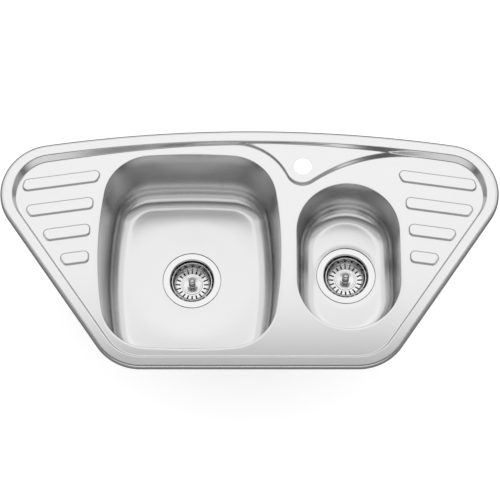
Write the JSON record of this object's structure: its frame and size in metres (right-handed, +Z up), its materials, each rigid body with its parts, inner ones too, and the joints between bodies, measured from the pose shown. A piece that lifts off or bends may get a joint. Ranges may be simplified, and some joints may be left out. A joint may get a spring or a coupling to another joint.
{
  "type": "corner kitchen sink",
  "caption": "Corner inset kitchen sink of pressed steel: wide trapezoid deck with raised rim, large bowl, half bowl, ribbed drainers each side, tap ledge and basket strainer wastes.",
  "frame": {"origin": "on the worktop plane, halfway along the overall width and the overall depth", "axes": "+X along the width, main bowl at -X; +Y towards the wall corner and the tap ledge; +Z up, out of the worktop"},
  "size_m": [0.9598, 0.4849, 0.27],
  "materials": {
    "deck_steel": "satin pressed stainless steel",
    "bowl_steel": "satin deep-drawn stainless steel",
    "polished_steel": "bright polished stainless steel",
    "seal_rubber": "smooth black rubber",
    "seal_foam": "closed-cell foam strip",
    "sound_pad": "heavy grey damping sheet",
    "white_plastic": "moulded polypropylene",
    "clip_plastic": "moulded acetal",
    "brass": "turned brass",
    "zinc_steel": "zinc-plated steel"
  },
  "bodies": {
    "sink": {"sink_deck": "deck_steel", "rim_seal": "seal_foam", "main_bowl": "bowl_steel", "half_bowl": "bowl_steel", "main_bowl_pads": "sound_pad", "half_bowl_pads": "sound_pad", "clip_brackets": "zinc_steel", "main_waste_cup": "polished_steel", "main_flange_seal": "seal_rubber", "main_under_seal": "seal_rubber", "main_waste_body": "white_plastic", "main_thread_insert": "brass", "main_clamp_screw": "polished_steel", "half_waste_cup": "polished_steel", "half_flange_seal": "seal_rubber", "half_under_seal": "seal_rubber", "half_waste_body": "white_plastic", "half_thread_insert": "brass", "half_clamp_screw": "polished_steel"},
    "main_strainer_clip": {"main_spring_clip": "clip_plastic"},
    "main_strainer": {"main_knob": "polished_steel", "main_basket": "polished_steel", "main_stopper": "seal_rubber", "main_stopper_nut": "zinc_steel"},
    "half_strainer_clip": {"half_spring_clip": "clip_plastic"},
    "half_strainer": {"half_knob": "polished_steel", "half_basket": "polished_steel", "half_stopper": "seal_rubber", "half_stopper_nut": "zinc_steel"},
    "clip_1_carrier": {"clip_1_washer": "zinc_steel"},
    "clip_1_screw": {"clip_1_screw": "zinc_steel"},
    "clip_1_claw": {"clip_1_claw": "zinc_steel"},
    "clip_2_carrier": {"clip_2_washer": "zinc_steel"},
    "clip_2_screw": {"clip_2_screw": "zinc_steel"},
    "clip_2_claw": {"clip_2_claw": "zinc_steel"},
    "clip_3_carrier": {"clip_3_washer": "zinc_steel"},
    "clip_3_screw": {"clip_3_screw": "zinc_steel"},
    "clip_3_claw": {"clip_3_claw": "zinc_steel"},
    "clip_4_carrier": {"clip_4_washer": "zinc_steel"},
    "clip_4_screw": {"clip_4_screw": "zinc_steel"},
    "clip_4_claw": {"clip_4_claw": "zinc_steel"},
    "clip_5_carrier": {"clip_5_washer": "zinc_steel"},
    "clip_5_screw": {"clip_5_screw": "zinc_steel"},
    "clip_5_claw": {"clip_5_claw": "zinc_steel"},
    "clip_6_carrier": {"clip_6_washer": "zinc_steel"},
    "clip_6_screw": {"clip_6_screw": "zinc_steel"},
    "clip_6_claw": {"clip_6_claw": "zinc_steel"},
    "clip_7_carrier": {"clip_7_washer": "zinc_steel"},
    "clip_7_screw": {"clip_7_screw": "zinc_steel"},
    "clip_7_claw": {"clip_7_claw": "zinc_steel"},
    "clip_8_carrier": {"clip_8_washer": "zinc_steel"},
    "clip_8_screw": {"clip_8_screw": "zinc_steel"},
    "clip_8_claw": {"clip_8_claw": "zinc_steel"}
  },
  "joints": [
    {"name": "main_strainer_lift", "type": "slide", "parent": "sink", "child": "main_strainer_clip", "axis": [0, 0, 1], "range_m": [0, 0.23]},
    {"name": "main_strainer_turn", "type": "hinge", "parent": "main_strainer_clip", "child": "main_strainer", "pos_m": [-0.1145, -0.003, -0.174], "axis": [0, 0, 1], "continuous": true},
    {"name": "half_strainer_lift", "type": "slide", "parent": "sink", "child": "half_strainer_clip", "axis": [0, 0, 1], "range_m": [0, 0.172]},
    {"name": "half_strainer_turn", "type": "hinge", "parent": "half_strainer_clip", "child": "half_strainer", "pos_m": [0.1888, -0.0139, -0.117], "axis": [0, 0, 1], "continuous": true},
    {"name": "clip_1_rise", "type": "slide", "parent": "sink", "child": "clip_1_carrier", "axis": [0, 0, 1], "range_m": [0, 0.012]},
    {"name": "clip_1_screw_turn", "type": "hinge", "parent": "clip_1_carrier", "child": "clip_1_screw", "pos_m": [0.15, -0.21, -0.04], "axis": [0, 0, 1], "range_deg": [0, 5400]},
    {"name": "clip_1_claw_swing", "type": "hinge", "parent": "clip_1_carrier", "child": "clip_1_claw", "pos_m": [0.15, -0.21, -0.054], "axis": [0, 0, 1], "range_deg": [0, 90]},
    {"name": "clip_2_rise", "type": "slide", "parent": "sink", "child": "clip_2_carrier", "axis": [0, 0, 1], "range_m": [0, 0.012]},
    {"name": "clip_2_screw_turn", "type": "hinge", "parent": "clip_2_carrier", "child": "clip_2_screw", "pos_m": [-0.15, -0.21, -0.04], "axis": [0, 0, 1], "range_deg": [0, 5400]},
    {"name": "clip_2_claw_swing", "type": "hinge", "parent": "clip_2_carrier", "child": "clip_2_claw", "pos_m": [-0.15, -0.21, -0.054], "axis": [0, 0, 1], "range_deg": [0, 90]},
    {"name": "clip_3_rise", "type": "slide", "parent": "sink", "child": "clip_3_carrier", "axis": [0, 0, 1], "range_m": [0, 0.012]},
    {"name": "clip_3_screw_turn", "type": "hinge", "parent": "clip_3_carrier", "child": "clip_3_screw", "pos_m": [0.30612, -0.11182, -0.04], "axis": [0, 0, 1], "range_deg": [0, 5400]},
    {"name": "clip_3_claw_swing", "type": "hinge", "parent": "clip_3_carrier", "child": "clip_3_claw", "pos_m": [0.30612, -0.11182, -0.054], "axis": [0, 0, 1], "range_deg": [0, 90]},
    {"name": "clip_4_rise", "type": "slide", "parent": "sink", "child": "clip_4_carrier", "axis": [0, 0, 1], "range_m": [0, 0.012]},
    {"name": "clip_4_screw_turn", "type": "hinge", "parent": "clip_4_carrier", "child": "clip_4_screw", "pos_m": [0.39296, 0.0136, -0.04], "axis": [0, 0, 1], "range_deg": [0, 5400]},
    {"name": "clip_4_claw_swing", "type": "hinge", "parent": "clip_4_carrier", "child": "clip_4_claw", "pos_m": [0.39296, 0.0136, -0.054], "axis": [0, 0, 1], "range_deg": [0, 90]},
    {"name": "clip_5_rise", "type": "slide", "parent": "sink", "child": "clip_5_carrier", "axis": [0, 0, 1], "range_m": [0, 0.012]},
    {"name": "clip_5_screw_turn", "type": "hinge", "parent": "clip_5_carrier", "child": "clip_5_screw", "pos_m": [-0.30612, -0.11182, -0.04], "axis": [0, 0, 1], "range_deg": [0, 5400]},
    {"name": "clip_5_claw_swing", "type": "hinge", "parent": "clip_5_carrier", "child": "clip_5_claw", "pos_m": [-0.30612, -0.11182, -0.054], "axis": [0, 0, 1], "range_deg": [0, 90]},
    {"name": "clip_6_rise", "type": "slide", "parent": "sink", "child": "clip_6_carrier", "axis": [0, 0, 1], "range_m": [0, 0.012]},
    {"name": "clip_6_screw_turn", "type": "hinge", "parent": "clip_6_carrier", "child": "clip_6_screw", "pos_m": [-0.39296, 0.0136, -0.04], "axis": [0, 0, 1], "range_deg": [0, 5400]},
    {"name": "clip_6_claw_swing", "type": "hinge", "parent": "clip_6_carrier", "child": "clip_6_claw", "pos_m": [-0.39296, 0.0136, -0.054], "axis": [0, 0, 1], "range_deg": [0, 90]},
    {"name": "clip_7_rise", "type": "slide", "parent": "sink", "child": "clip_7_carrier", "axis": [0, 0, 1], "range_m": [0, 0.012]},
    {"name": "clip_7_screw_turn", "type": "hinge", "parent": "clip_7_carrier", "child": "clip_7_screw", "pos_m": [0.34, 0.18739, -0.04], "axis": [0, 0, 1], "range_deg": [0, 5400]},
    {"name": "clip_7_claw_swing", "type": "hinge", "parent": "clip_7_carrier", "child": "clip_7_claw", "pos_m": [0.34, 0.18739, -0.054], "axis": [0, 0, 1], "range_deg": [0, 90]},
    {"name": "clip_8_rise", "type": "slide", "parent": "sink", "child": "clip_8_carrier", "axis": [0, 0, 1], "range_m": [0, 0.012]},
    {"name": "clip_8_screw_turn", "type": "hinge", "parent": "clip_8_carrier", "child": "clip_8_screw", "pos_m": [-0.34, 0.18739, -0.04], "axis": [0, 0, 1], "range_deg": [0, 5400]},
    {"name": "clip_8_claw_swing", "type": "hinge", "parent": "clip_8_carrier", "child": "clip_8_claw", "pos_m": [-0.34, 0.18739, -0.054], "axis": [0, 0, 1], "range_deg": [0, 90]}
  ],
  "couplings": [
    {"joint": "clip_1_screw_turn", "follows": "clip_1_rise", "rad_per_m": 7854},
    {"joint": "clip_2_screw_turn", "follows": "clip_2_rise", "rad_per_m": 7854},
    {"joint": "clip_3_screw_turn", "follows": "clip_3_rise", "rad_per_m": 7854},
    {"joint": "clip_4_screw_turn", "follows": "clip_4_rise", "rad_per_m": 7854},
    {"joint": "clip_5_screw_turn", "follows": "clip_5_rise", "rad_per_m": 7854},
    {"joint": "clip_6_screw_turn", "follows": "clip_6_rise", "rad_per_m": 7854},
    {"joint": "clip_7_screw_turn", "follows": "clip_7_rise", "rad_per_m": 7854},
    {"joint": "clip_8_screw_turn", "follows": "clip_8_rise", "rad_per_m": 7854}
  ]
}
